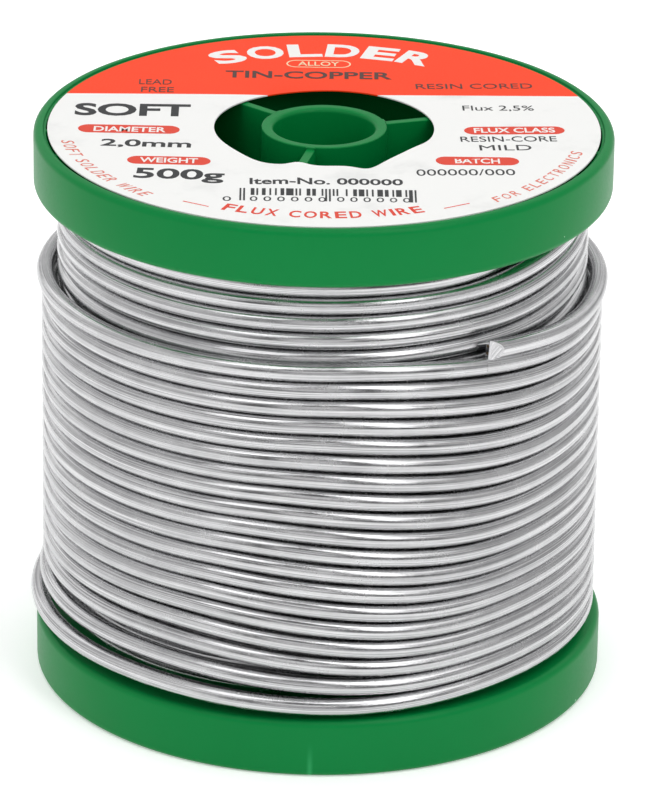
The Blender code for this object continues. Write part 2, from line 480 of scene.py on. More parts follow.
@dataclass(frozen=True)
class CoatedPaper:
    """Coated white label paper with a printed red field at the back.

    A smooth satin sheet with faint grey smudges from handling and a very fine fibre grain.
    """

    white: str = "f1f1ef"
    smudge: str = "d9dad8"
    red: str = "ff4516"
    red_deep: str = "fb3f12"
    gloss: float = 0.15
    fibre: Grain = Grain(0.25, 4.0, (0.39, 0.53), 0.15, 0.01)
    smudge_mm: float = 9.0
    smudge_range: tuple[float, float] = (0.52, 0.8)
    smudge_strength: float = 0.7
    field_edge_mm: float = 9.9
    field_slope: float = 0.02

    def material(self) -> bpy.types.Material:
        """Builds the label's material; the red field lies beyond a nearly straight printed edge."""
        material, tree, shader = new_material("coated_label_paper")
        place = add_node(tree, "ShaderNodeTexCoord").outputs["Object"]
        axes = add_node(tree, "ShaderNodeSeparateXYZ", inputs={0: place})
        lean = add_node(
            tree, "ShaderNodeMath", {"operation": "MULTIPLY"}, {0: axes.outputs[0], 1: self.field_slope}
        )
        level = add_node(
            tree, "ShaderNodeMath", {"operation": "SUBTRACT"}, {0: axes.outputs[1], 1: lean.outputs[0]}
        )
        field_share = add_node(
            tree,
            "ShaderNodeMath",
            {"operation": "GREATER_THAN"},
            {0: level.outputs[0], 1: mm(self.field_edge_mm)},
        )
        cloud = add_node(
            tree,
            "ShaderNodeTexNoise",
            inputs={"Vector": place, "Scale": 1000.0 / self.smudge_mm, "Detail": 4.0, "Roughness": 0.6},
        )
        dirty = add_node(
            tree,
            "ShaderNodeMapRange",
            SOFT,
            {
                "Value": cloud.outputs[0],
                "From Min": self.smudge_range[0],
                "From Max": self.smudge_range[1],
                "To Min": 0.0,
                "To Max": self.smudge_strength,
            },
        )
        paper = add_node(
            tree, "ShaderNodeMix", COLOURS,
            {0: dirty.outputs[0], 6: linear(self.white), 7: linear(self.smudge)},
        )
        ink = add_node(
            tree, "ShaderNodeMix", COLOURS,
            {0: cloud.outputs[0], 6: linear(self.red), 7: linear(self.red_deep)},
        )
        printed = add_node(
            tree,
            "ShaderNodeMix",
            COLOURS,
            {0: field_share.outputs[0], 6: paper.outputs[2], 7: ink.outputs[2]},
        )
        tree.links.new(printed.outputs[2], shader.inputs["Base Color"])
        self.fibre.apply(tree, shader, place)
        shader.inputs["Specular IOR Level"].default_value = self.gloss
        return material


class Ink(Enum):
    """The printing inks of the label: name and sRGB colour."""

    BLACK = ("carbon_black_ink", "1f2123")
    THIN_BLACK = ("thin_black_ink", "4a2a22")
    RED = ("red_ink", "e23a1b")
    PALE_RED = ("pale_red_ink", "e0705c")
    WHITE = ("unprinted_white", "f4f2ef")
    CREAM = ("cream_ink", "f7dcb4")


@dataclass(frozen=True)
class PrintingInk:
    """A film of offset ink on coated paper: satin, with slightly uneven coverage."""

    ink: Ink
    roughness: float = 0.4
    gloss: float = 0.15
    coverage_mm: float = 0.6
    thin_share: float = 0.9
    show_through: float = 0.03

    def material(self) -> bpy.types.Material:
        """Builds the ink's material."""
        name, colour = self.ink.value
        material, tree, shader = new_material(name)
        place = add_node(tree, "ShaderNodeTexCoord").outputs["Object"]
        full = linear(colour)
        thin = tuple(self.thin_share * channel + self.show_through for channel in full[:3]) + (1.0,)
        film = clouded(tree, place, self.coverage_mm, full, thin)
        tree.links.new(film, shader.inputs["Base Color"])
        shader.inputs["Roughness"].default_value = self.roughness
        shader.inputs["Specular IOR Level"].default_value = self.gloss
        return material


@dataclass(frozen=True)
class DrawnSolder:
    """Tin-copper solder wire as drawn through a die.

    Soft, bright and slightly warm; fine lines run along the wire and pull its highlights into streaks,
    with duller patches of oxide.
    """

    name: str = "drawn_tin_copper_solder"
    bright: str = "dadadb"
    dull: str = "a3a3a5"
    roughness: float = 0.22
    roughness_swing: tuple[float, float] = (-0.05, 0.09)
    line_mm: float = 0.11
    line_length_mm: float = 22.0
    line_depth_mm: float = 0.02
    line_strength: float = 0.6
    patch_mm: float = 4.0
    patch_share: float = 0.2
    patch_range: tuple[float, float] = (0.3, 0.7)
    tone_range: tuple[float, float] = (0.38, 0.62)

    def material(self) -> bpy.types.Material:
        """Builds the wire's material from its UV map, which holds millimetres along and around."""
        material, tree, shader = new_material(self.name)
        strand = add_node(tree, "ShaderNodeUVMap", {"uv_map": "UVMap"}).outputs[0]
        stretch = add_node(
            tree,
            "ShaderNodeMapping",
            inputs={0: strand, "Scale": (1.0 / self.line_length_mm, 1.0 / self.line_mm, 1.0)},
        )
        lines = add_node(
            tree, "ShaderNodeTexNoise", inputs={"Vector": stretch.outputs[0], "Scale": 1.0, "Detail": 3.0}
        )
        patches = add_node(
            tree,
            "ShaderNodeTexNoise",
            inputs={"Vector": strand, "Scale": 1.0 / self.patch_mm, "Detail": 4.0, "Roughness": 0.65},
        )
        tone = add_node(
            tree,
            "ShaderNodeMix",
            inputs={0: self.patch_share, 2: lines.outputs[0], 3: patches.outputs[0]},
        )
        low, high = self.tone_range
        tones = {"Value": tone.outputs[0], "From Min": low, "From Max": high}
        spread = add_node(tree, "ShaderNodeMapRange", inputs=tones)
        colour = add_node(
            tree, "ShaderNodeMix", COLOURS,
            {0: spread.outputs[0], 6: linear(self.dull), 7: linear(self.bright)},
        )
        tree.links.new(colour.outputs[2], shader.inputs["Base Color"])
        rough = add_node(
            tree,
            "ShaderNodeMapRange",
            inputs={
                "Value": patches.outputs[0],
                "From Min": self.patch_range[0],
                "From Max": self.patch_range[1],
                "To Min": self.roughness + self.roughness_swing[0],
                "To Max": self.roughness + self.roughness_swing[1],
            },
        )
        tree.links.new(rough.outputs[0], shader.inputs["Roughness"])
        bump = add_node(
            tree,
            "ShaderNodeBump",
            inputs={
                "Strength": self.line_strength,
                "Distance": mm(self.line_depth_mm),
                "Height": lines.outputs[0],
            },
        )
        tree.links.new(bump.outputs[0], shader.inputs["Normal"])
        shader.inputs["Metallic"].default_value = 1.0
        return material


@dataclass(frozen=True)
class FluxResin:
    """Activated rosin flux: a dark amber resin, brittle and glossy where it breaks."""

    colour: str = "3a2c1c"
    light_colour: str = "6b5335"
    roughness: float = 0.35
    refraction: float = 1.54
    cloud_mm: float = 0.2

    def material(self) -> bpy.types.Material:
        """Builds the resin's material."""
        material, tree, shader = new_material("rosin_flux")
        place = add_node(tree, "ShaderNodeTexCoord").outputs["Object"]
        colour = clouded(tree, place, self.cloud_mm, linear(self.colour), linear(self.light_colour))
        tree.links.new(colour, shader.inputs["Base Color"])
        shader.inputs["Roughness"].default_value = self.roughness
        shader.inputs["IOR"].default_value = self.refraction
        return material


# ---- the moulded spool -----------------------------------------------------------------------------


@dataclass
class SpoolBody:
    """The one-piece moulding: hub tube, barrel, two ribbed flanges and their rims."""

    rim_inner: float = 30.4
    rim_round: float = 0.76
    seat_round: float = 0.2
    rim_ledge: float = 0.3
    seat_depth: float = 0.3
    bore_radius: float = 5.5
    bore_round: float = 0.5
    hub_radius: float = 6.8
    hub_allowance: float = 0.15
    barrel_radius: float = 18.2
    barrel_wall: float = 1.5
    web: float = 1.5
    hub_ribs: int = 3
    hub_rib: float = 1.0
    first_hub_rib_deg: float = 18.0
    flange_ribs: int = 24
    flange_rib: float = 0.8
    first_flange_rib_deg: float = 3.0
    edge_bevel: float = 0.12
    bevel_from_deg: float = 50.0
    sharp_deg: float = 22.0
    cutter_overshoot: float = 2.0
    hub_pocket_steps: int = 48
    flange_pocket_steps: int = 10
    merge_mm: float = 0.004
    flat_deg: float = 0.4
    steps: int = 192

    def outline(self) -> list[tuple[float, float]]:
        """The turned section before the pockets are cut: the upper half and its mirror image."""
        top = SIZES.spool_height
        seat = top - self.seat_depth
        edge = SIZES.spool_radius - self.rim_round
        mouth = (self.bore_radius + self.bore_round, top - self.bore_round)
        hub = self.hub_radius + self.hub_allowance
        upper = rounded_corner(mouth, self.bore_round, 180, 90)
        upper += [(hub, top), (hub, seat), (self.rim_inner, seat)]
        rim_corner = (self.rim_inner + self.seat_round, top - self.seat_round)
        upper += rounded_corner(rim_corner, self.seat_round, 180, 90, 3)
        upper += rounded_corner((edge, top - self.rim_round), self.rim_round, 90, 0)
        upper += rounded_corner((edge, SIZES.winding_high + self.rim_round), self.rim_round, 0, -90)
        upper += [(self.barrel_radius, SIZES.winding_high)]
        lower = [(radius, top - height) for radius, height in reversed(upper)]
        return upper + lower

    @staticmethod
    def add_pocket(
        bm: bmesh.types.BMesh,
        radii: tuple[float, float],
        angles: tuple[float, float],
        rib: float,
        heights: tuple[float, float],
        steps: int,
    ) -> None:
        """Adds a closed pocket that fills the space between two ribs of even thickness.

        Args:
            bm: the bmesh that takes the pocket.
            radii: the pocket's inner and outer radius.
            angles: the centre lines of the ribs on its two sides.
            rib: the ribs' thickness.
            heights: the pocket's lowest and highest level.
            steps: segments in each of its arcs.
        """

        def arc(radius: float) -> list[Vector]:
            """Places between the two ribs at a radius, on the pocket's lowest level."""
            half_rib_deg = math.degrees(math.asin(0.5 * rib / radius))
            first, last = angles[0] + half_rib_deg, angles[1] - half_rib_deg
            turns = [first + (last - first) * i / steps for i in range(steps + 1)]
            return [ring_point(radius, turn, heights[0]) for turn in turns]

        outline = arc(radii[1]) + list(reversed(arc(radii[0])))
        floor = bm.faces.new([bm.verts.new(point) for point in outline])
        lifted = bmesh.ops.extrude_face_region(bm, geom=[floor])["geom"]
        moved = [item for item in lifted if isinstance(item, bmesh.types.BMVert)]
        bmesh.ops.translate(bm, vec=(0.0, 0.0, mm(heights[1] - heights[0])), verts=moved)

    def hub_pockets(self) -> bmesh.types.BMesh:
        """The three deep pockets between the hub tube and the barrel."""
        bm = bmesh.new()
        span = 360.0 / self.hub_ribs
        radii = (self.hub_radius, self.barrel_radius - self.barrel_wall)
        heights = (-self.cutter_overshoot, SIZES.spool_height + self.cutter_overshoot)
        for i in range(self.hub_ribs):
            start = self.first_hub_rib_deg + i * span
            angles = (start, start + span)
            self.add_pocket(bm, radii, angles, self.hub_rib, heights, self.hub_pocket_steps)
        bmesh.ops.recalc_face_normals(bm, faces=bm.faces)
        return bm

    def flange_pockets(self) -> bmesh.types.BMesh:
        """The shallow pockets between the ribs behind both flanges."""
        bm = bmesh.new()
        span = 360.0 / self.flange_ribs
        floor = SIZES.winding_high + self.web
        radii = (self.barrel_radius, self.rim_inner - self.rim_ledge)
        for i in range(self.flange_ribs):
            start = self.first_flange_rib_deg + i * span
            angles = (start, start + span)
            for heights in ((floor, SIZES.spool_height), (0.0, SIZES.spool_height - floor)):
                self.add_pocket(bm, radii, angles, self.flange_rib, heights, self.flange_pocket_steps)
        bmesh.ops.recalc_face_normals(bm, faces=bm.faces)
        return bm

    def build(self, finish: MouldedPolystyrene) -> None:
        """Turns the body, cuts its pockets and breaks its edges."""
        body = link("spool_blank", mesh_from("spool_blank", turned(self.outline(), self.steps)))
        shapes = {"hub_cutter": self.hub_pockets(), "flange_cutter": self.flange_pockets()}
        cut = cut_away(body, [link(name, mesh_from(name, bm)) for name, bm in shapes.items()])
        bpy.data.objects.remove(body)
        bm = bmesh_of(cut)
        bmesh.ops.remove_doubles(bm, verts=bm.verts, dist=mm(self.merge_mm))
        bmesh.ops.dissolve_limit(
            bm,
            angle_limit=math.radians(self.flat_deg),
            verts=bm.verts,
            edges=bm.edges,
            delimit={"NORMAL"},
        )
        piece = link("moulded_spool", mesh_from("moulded_spool", bm))
        bevel = piece.modifiers.new("broken_edges", "BEVEL")
        bevel.width = mm(self.edge_bevel)
        bevel.segments = 2
        bevel.limit_method = "ANGLE"
        bevel.angle_limit = math.radians(self.bevel_from_deg)
        bevel.use_clamp_overlap = False
        bevelled = finished_mesh(piece)
        piece.modifiers.clear()
        piece.data = mesh_from("moulded_spool", bmesh_of(bevelled), self.sharp_deg)
        piece.data.materials.append(finish.material())
        settle(piece, "green_plastic", "spool_body")


# ---- the label -------------------------------------------------------------------------------------


@dataclass
class TopLabel:
    """The ring-shaped paper label, which waves a little at its free inner edge."""

    hole_radius: float = 11.93
    thickness: float = 0.14
    top: float = 0.02
    shift: float = -0.38
    wave_reach: float = 2.6
    steps: int = 216
    rings: int = 16
    ring_crowding: float = 1.5
    waves: tuple[tuple[float, float, float], ...] = (
        (-124.0, 15.0, -0.40),
        (-103.0, 6.0, 0.34),
        (-66.0, 9.0, -0.62),
        (-37.0, 15.0, 0.40),
        (108.0, 25.0, -0.12),
    )

    def height_at(self, x: float, y: float) -> float:
        """How far the paper's upper face stands above its seat level at a place on the label."""
        radius = math.hypot(x, y - self.shift)
        angle = math.degrees(math.atan2(y - self.shift, x))
        edge = sum(depth * bell(angle, centre, width) for centre, width, depth in self.waves)
        return edge * math.exp(-max(0.0, radius - self.hole_radius) / self.wave_reach)

    def build(self, finish: CoatedPaper) -> None:
        """Turns the flat ring and lets it wave."""
        level = SIZES.spool_height + self.top
        span = SIZES.label_radius - self.hole_radius
        shares = [(i / self.rings) ** self.ring_crowding for i in range(self.rings + 1)]
        across = [self.hole_radius + span * share for share in shares]
        outline = [(radius, level) for radius in across]
        outline += [(radius, level - self.thickness) for radius in reversed(across)]
        bm = turned(outline, self.steps)
        bmesh.ops.translate(bm, vec=(0.0, mm(self.shift), 0.0), verts=bm.verts)
        for vert in bm.verts:
            vert.co.z += mm(self.height_at(vert.co.x * 1000.0, vert.co.y * 1000.0))
        piece = link("paper_label", mesh_from("paper_label", bm))
        piece.data.materials.append(finish.material())
        settle(piece, "label_paper", "top_label")


@dataclass(frozen=True)
class Words:
    """A line of print: what it says, its middle, the size that it fills, its weight and its tilt."""

    text: str
    middle: tuple[float, float]
    size: tuple[float, float]
    ink: Ink
    weight: float = 0.0
    tilt_deg: float = 0.0


@dataclass(frozen=True)
class ArcWords:
    """Print that follows the label's round shape, read from its inside or its outside."""

    text: str
    radius: float
    middle_deg: float
    letter: tuple[float, float]
    gap: float
    ink: Ink
    weight: float = 0.0
    upside: bool = False
    slant: float = 0.0


@dataclass(frozen=True)
class Pill:
    """A printed bar with round ends, solid or as an outline."""

    middle: tuple[float, float]
    size: tuple[float, float]
    ink: Ink
    tilt_deg: float = 0.0
    line: float = 0.0


@dataclass
class LabelPrint:
    """Everything printed on the label, laid as thin films of ink that follow the paper.

    A film's middle lies at the low level above the paper, or at the high level on top of a pill.
    """

    label: TopLabel
    film: float = 0.02
    low: float = 0.012
    high: float = 0.03
    letter_curve_steps: int = 4
    pill_steps: int = 40
    words: tuple[Words, ...] = (
        Words("ALLOY", (-0.7, 20.0), (4.6, 1.4), Ink.CREAM, 0.01),
        Words("TIN-COPPER", (-1.8, 16.3), (18.4, 2.3), Ink.THIN_BLACK, 0.02),
        Words("LEAD", (-18.7, 13.4), (3.6, 1.6), Ink.THIN_BLACK),
        Words("FREE", (-18.4, 10.9), (3.6, 1.6), Ink.THIN_BLACK),
        Words("RESIN CORED", (16.5, 13.3), (12.9, 1.6), Ink.THIN_BLACK, 0.0, 3.0),
        Words("SOFT", (-20.9, 4.3), (12.6, 3.9), Ink.BLACK, 0.03),
        Words("DIAMETER", (-21.0, -1.9), (7.8, 1.5), Ink.WHITE, 0.02, -1.0),
        Words("2,0mm", (-19.1, -6.3), (9.7, 2.5), Ink.BLACK, 0.02, -1.5),
        Words("WEIGHT", (-16.5, -11.3), (6.2, 1.5), Ink.WHITE, 0.02, -1.0),
        Words("500g", (-15.3, -15.8), (9.6, 4.0), Ink.BLACK, 0.022, -2.5),
        Words("Flux 2,5%", (19.0, 6.2), (7.8, 1.8), Ink.BLACK, 0.0, 2.0),
        Words("FLUX CLASS", (20.6, -0.7), (8.8, 1.5), Ink.WHITE, 0.02, 3.0),
        Words("RESIN-CORE", (19.9, -3.4), (10.4, 1.6), Ink.BLACK, 0.0, 3.0),
        Words("MILD", (19.5, -6.1), (5.6, 1.6), Ink.BLACK, 0.0, 3.0),
        Words("BATCH", (16.4, -10.4), (4.8, 1.5), Ink.WHITE, 0.02, 2.0),
        Words("000000/000", (15.1, -13.8), (10.5, 1.8), Ink.BLACK, 0.0, 3.0),
        Words("Item-No. 000000", (0.3, -17.0), (16.2, 1.9), Ink.BLACK, 0.02, 1.0),
        Words("0", (-10.1, -22.5), (0.9, 1.3), Ink.BLACK),
        Words("0 0 0 0 0 0", (-3.7, -22.4), (8.0, 1.3), Ink.BLACK),
        Words("0 0 0 0 0 0", (5.3, -22.3), (7.7, 1.3), Ink.BLACK),
    )
    arcs: tuple[ArcWords, ...] = (
        ArcWords("SOLDER", 24.85, 90.8, (3.75, 4.2), 0.55, Ink.WHITE, 0.035),
        ArcWords("FLUX CORED WIRE", 26.5, -90.0, (1.22, 1.9), 0.33, Ink.RED, 0.02, True),
        ArcWords("SOFT SOLDER WIRE", 28.1, -150.0, (0.85, 1.35), 0.42, Ink.PALE_RED, 0.0, True, 0.3),
        ArcWords("FOR ELECTRONICS", 28.0, -32.0, (0.85, 1.35), 0.42, Ink.PALE_RED, 0.0, True, 0.2),
    )
    pills: tuple[Pill, ...] = (
        Pill((-0.7, 20.0), (7.2, 2.4), Ink.CREAM, 0.0, 0.16),
        Pill((-21.1, -1.8), (11.0, 2.5), Ink.RED, -1.0),
        Pill((-16.5, -11.3), (8.9, 2.4), Ink.RED, -1.0),
        Pill((20.6, -0.7), (10.9, 2.4), Ink.RED, 3.0),
        Pill((16.4, -10.4), (8.9, 2.4), Ink.RED, 2.0),
    )
    dashes: tuple[tuple[float, float], ...] = ((-118.9, 3.1), (-59.5, 3.1))
    dash_radius: float = 27.55
    dash_line: float = 0.16
    bar_rhythm: str = "111321122212122141111321231" + "11111" + "1114132131121231221132112" + "111"
    guard_bars: tuple[int, ...] = (0, 2, 28, 30, 56, 58)
    bar_area: tuple[float, float, float, float] = (-8.8, 10.0, -21.3, -19.3)
    guard_drop: float = 1.6
    bar_tilt_deg: float = 0.5
    letter_widths: dict[str, float] = field(
        default_factory=lambda: {"I": 0.3, " ": 0.45, "W": 1.3, "M": 1.25, "O": 1.1}
    )

    def glyphs(self, text: str, size: tuple[float, float], weight: float) -> bmesh.types.BMesh:
        """Makes letters as closed flat solids, centred and scaled to fill a size.

        Args:
            text: the letters.
            size: their width and height together, in millimetres.
            weight: how far the outlines swell, as a share of the letters' height.

        Returns:
            The letters' bmesh, in metres, lying on z = 0.
        """
        any_thickness = 0.01
        merge = 0.00002
        curve = bpy.data.curves.new("letters", "FONT")
        curve.body = text
        curve.resolution_u = self.letter_curve_steps
        curve.offset = weight
        curve.extrude = any_thickness
        helper = link("letters", curve)
        bpy.context.view_layer.update()
        mesh = finished_mesh(helper)
        bpy.data.objects.remove(helper)
        bm = bmesh_of(mesh)
        bmesh.ops.remove_doubles(bm, verts=bm.verts, dist=merge)
        low = Vector([min(vert.co[i] for vert in bm.verts) for i in range(3)])
        high = Vector([max(vert.co[i] for vert in bm.verts) for i in range(3)])
        bmesh.ops.translate(bm, vec=-0.5 * (low + high), verts=bm.verts)
        wanted = (*size, self.film)
        scale = [mm(wanted[i]) / (high[i] - low[i]) for i in range(3)]
        bmesh.ops.scale(bm, vec=scale, verts=bm.verts)
        return bm

    def capsule(self, size: tuple[float, float]) -> bmesh.types.BMesh:
        """A flat face with round ends, stretched apart from a circle."""
        bm = bmesh.new()
        half_height = 0.5 * mm(size[1])
        bmesh.ops.create_circle(bm, cap_ends=True, segments=self.pill_steps, radius=half_height)
        spread = 0.5 * mm(size[0]) - half_height
        for vert in bm.verts:
            if abs(vert.co.x) > 1e-7:
                vert.co.x += math.copysign(spread, vert.co.x)
        return bm

    def thicken(self, bm: bmesh.types.BMesh) -> bmesh.types.BMesh:
        """Gives flat faces on z = 0 the thickness of a film of ink."""
        lifted = bmesh.ops.extrude_face_region(bm, geom=bm.faces[:])["geom"]
        moved = [item for item in lifted if isinstance(item, bmesh.types.BMVert)]
        bmesh.ops.translate(bm, vec=(0.0, 0.0, mm(self.film)), verts=moved)
        bmesh.ops.translate(bm, vec=(0.0, 0.0, -0.5 * mm(self.film)), verts=bm.verts)
        bmesh.ops.recalc_face_normals(bm, faces=bm.faces)
        return bm

    def pill_shape(self, pill: Pill) -> bmesh.types.BMesh:
        """A solid pill, or its outline alone."""
        bm = self.capsule(pill.size)
        if pill.line:
            bmesh.ops.inset_region(
                bm, faces=bm.faces[:], thickness=mm(pill.line), use_boundary=True, use_even_offset=True
            )
            inner = max(bm.faces, key=lambda face: len(face.verts))
            bmesh.ops.delete(bm, geom=[inner], context="FACES_ONLY")
        return self.thicken(bm)

    def lay(
        self,
        store: dict[Ink, bmesh.types.BMesh],
        ink: Ink,
        bm: bmesh.types.BMesh,
        place: Matrix,
        raised: float,
    ) -> None:
        """Puts a printed shape on the paper and adds it to the film of its ink.

        Args:
            store: the films so far, one for each ink.
            ink: the shape's ink.
            bm: the shape, which is freed.
            place: where it goes on the flat label.
            raised: how far the film's middle lies above the paper.
        """
        bm.transform(place)
        surface = SIZES.spool_height + self.label.top + raised
        for vert in bm.verts:
            vert.co.z += mm(surface + self.label.height_at(vert.co.x * 1000.0, vert.co.y * 1000.0))
        part = bpy.data.meshes.new("print_part")
        bm.to_mesh(part)
        bm.free()
        store.setdefault(ink, bmesh.new()).from_mesh(part)
        bpy.data.meshes.remove(part)

    @staticmethod
    def spot(middle: tuple[float, float], tilt_deg: float) -> Matrix:
        """The placement of a straight piece of print."""
        turn = Matrix.Rotation(math.radians(tilt_deg), 4, "Z")
        return Matrix.Translation((mm(middle[0]), mm(middle[1]), 0.0)) @ turn

    def lay_arc(self, store: dict[Ink, bmesh.types.BMesh], arc: ArcWords) -> None:
        """Prints the letters of an arc one by one."""
        widths = [arc.letter[0] * self.letter_widths.get(letter, 1.0) for letter in arc.text]
        total = sum(widths) + arc.gap * (len(widths) - 1)
        along = -0.5 * total
        lean = Matrix.Shear("XZ", 4, (arc.slant, 0.0)) if arc.slant else Matrix.Identity(4)
        for letter, width in zip(arc.text, widths):
            middle = along + 0.5 * width
            along += width + arc.gap
            if letter == " ":
                continue
            side = 1.0 if arc.upside else -1.0
            angle_deg = arc.middle_deg + side * math.degrees(middle / arc.radius)
            turn = angle_deg + 90.0 if arc.upside else angle_deg - 90.0
            point = ring_point(arc.radius, angle_deg, 0.0)
            place = (
                Matrix.Translation((point.x, point.y + mm(self.label.shift), 0.0))
                @ Matrix.Rotation(math.radians(turn), 4, "Z")
                @ lean
            )
            bm = self.glyphs(letter, (width, arc.letter[1]), arc.weight)
            self.lay(store, arc.ink, bm, place, self.low)

    def lay_bars(self, store: dict[Ink, bmesh.types.BMesh]) -> None:
        """Prints a row of bars and gaps in a rhythm that stands for no number."""
        left, right, low, high = self.bar_area
        unit = (right - left) / sum(int(width) for width in self.bar_rhythm)
        along = left
        for index, digit in enumerate(self.bar_rhythm):
            width = unit * int(digit)
            middle = along + 0.5 * width
            along += width
            if index % 2:
                continue
            drop = self.guard_drop if index in self.guard_bars else 0.0
            bm = bmesh.new()
            bmesh.ops.create_cube(bm, size=1.0)
            bmesh.ops.scale(bm, vec=(mm(width), mm(high - low + drop), mm(self.film)), verts=bm.verts)
            place = self.spot((middle, 0.5 * (low + high - drop)), self.bar_tilt_deg)
            self.lay(store, Ink.BLACK, bm, place, self.low)

    def build(self) -> None:
        """Prints the label: one piece for each ink."""
        store: dict[Ink, bmesh.types.BMesh] = {}
        for pill in self.pills:
            place = self.spot(pill.middle, pill.tilt_deg)
            self.lay(store, pill.ink, self.pill_shape(pill), place, self.low)
        for words in self.words:
            on_pill = words.ink in (Ink.WHITE, Ink.CREAM)
            bm = self.glyphs(words.text, words.size, words.weight)
            place = self.spot(words.middle, words.tilt_deg)
            self.lay(store, words.ink, bm, place, self.high if on_pill else self.low)
        for arc in self.arcs:
            self.lay_arc(store, arc)
        for angle_deg, length in self.dashes:
            bm = bmesh.new()
            bmesh.ops.create_cube(bm, size=1.0)
            bmesh.ops.scale(bm, vec=(mm(length), mm(self.dash_line), mm(self.film)), verts=bm.verts)
            point = ring_point(self.dash_radius, angle_deg, 0.0) * 1000.0
            place = self.spot((point.x, point.y), angle_deg + 90.0)
            self.lay(store, Ink.RED, bm, place, self.low)
        self.lay_bars(store)
        for ink, bm in store.items():
            name = f"print_{ink.value[0]}"
            piece = link(name, mesh_from(name, bm))
            piece.data.materials.append(PrintingInk(ink).material())
            settle(piece, "label_paper")


# ---- the wire --------------------------------------------------------------------------------------


@dataclass(frozen=True)
class RoutePoint:
    """A place on the wire's centre line: radius and height in millimetres, angle in degrees."""

    radius: float
    angle_deg: float
    height: float

    def position(self) -> Vector:
        """The place in metres."""
        return ring_point(self.radius, self.angle_deg, self.height)


@dataclass
class OuterLayer:
    """The seventh layer, followed from the cut end down to where it leaves the sixth layer.

    Each turn lies level for most of its way and steps down to the next level where it crosses the
    wire below; the crossings drift to the left from turn to turn. The lowest two turns hang lower and
    the very lowest bulges out, and the uppermost turn is slack.
    """

    cut_deg: float = -54.4
    cut_drop: float = 0.3
    first_level: float = 48.4
    pitch: float = 2.0
    turns: int = 19
    end_deg: float = 150.0
    crossing_deg: float = -51.0
    crossing_from: float = 44.4
    drift_deg_per_mm: float = 1.36
    crossing_width: float = 68.0
    overshoot: float = 0.34
    recovery_after: float = 35.0
    recovery_width: float = 50.0
    slack: dict[int, float] = field(default_factory=lambda: {16: 0.1, 17: 0.3, 18: 0.95, 19: 1.65})
    bulge: float = 1.35
    second_bulge: float = 0.35
    sag_deg: float = 180.0
    loose: float = 0.5
    loose_until_deg: float = 380.0
    loose_fade_deg: float = 60.0
    tip_flare: float = 0.25
    tip_flare_deg: float = 15.0
    cut_drop_deg: float = 60.0
    join_deg: float = 110.0
    ride_up: float = 0.2

    def length_deg(self) -> float:
        """The whole winding angle of the layer."""
        return 360.0 * self.turns + self.end_deg - self.cut_deg

    def crossing(self, number: int) -> float:
        """The unwound angle of a crossing's middle, counted from the cut end."""
        level = self.first_level - self.pitch * (number + 1.0)
        drift = self.drift_deg_per_mm * (self.crossing_from - level)
        return 360.0 * number + self.crossing_deg - drift

    def at(self, travel: float) -> RoutePoint:
        """The place after a winding angle from the cut end."""
        angle = self.cut_deg + travel
        height = self.first_level
        lift = 0.0
        for number in range(self.turns + 1):
            middle = self.crossing(number)
            crossed = smoothstep((angle - middle) / self.crossing_width + 0.5)
            past = angle - middle - self.recovery_after
            recovered = smoothstep(past / self.recovery_width + 0.5)
            height -= self.pitch * ((1.0 + self.overshoot) * crossed - self.overshoot * recovered)
            sag = self.slack.get(number, 0.0)
            sunk = smoothstep((angle - 360.0 * number + 360.0) / self.sag_deg)
            height -= sag * (sunk - crossed)
            lift += 4.0 * crossed * (1.0 - crossed)
        radius = SIZES.layer_radii[6] + self.ride_up * lift
        sideways = 1.0 - abs(math.sin(math.radians(angle)))
        loosened = smoothstep((self.loose_until_deg - travel) / self.loose_fade_deg)
        radius += self.loose * sideways * loosened
        radius += self.tip_flare * max(0.0, 1.0 - travel / self.tip_flare_deg) ** 2
        height -= self.cut_drop * max(0.0, 1.0 - travel / self.cut_drop_deg)
        for turn, size in ((self.turns, self.bulge), (self.turns - 1, self.second_bulge)):
            away = abs(angle - (360.0 * turn - 180.0))
            radius += size * (0.5 + 0.5 * math.cos(math.radians(min(180.0, away))))
        return self.join_below(travel, RoutePoint(radius, angle, height))

    def join_below(self, travel: float, point: RoutePoint) -> RoutePoint:
        """Leads the layer's last stretch in to the end of the sixth layer."""
        share = smoothstep((travel - self.length_deg() + self.join_deg) / self.join_deg)
        sixth = InnerLayer(6)
        below = sixth.at(sixth.length_deg())
        radius = point.radius + share * (below.radius - point.radius)
        height = point.height + share * (below.height - point.height)
        return RoutePoint(radius, point.angle_deg, height)


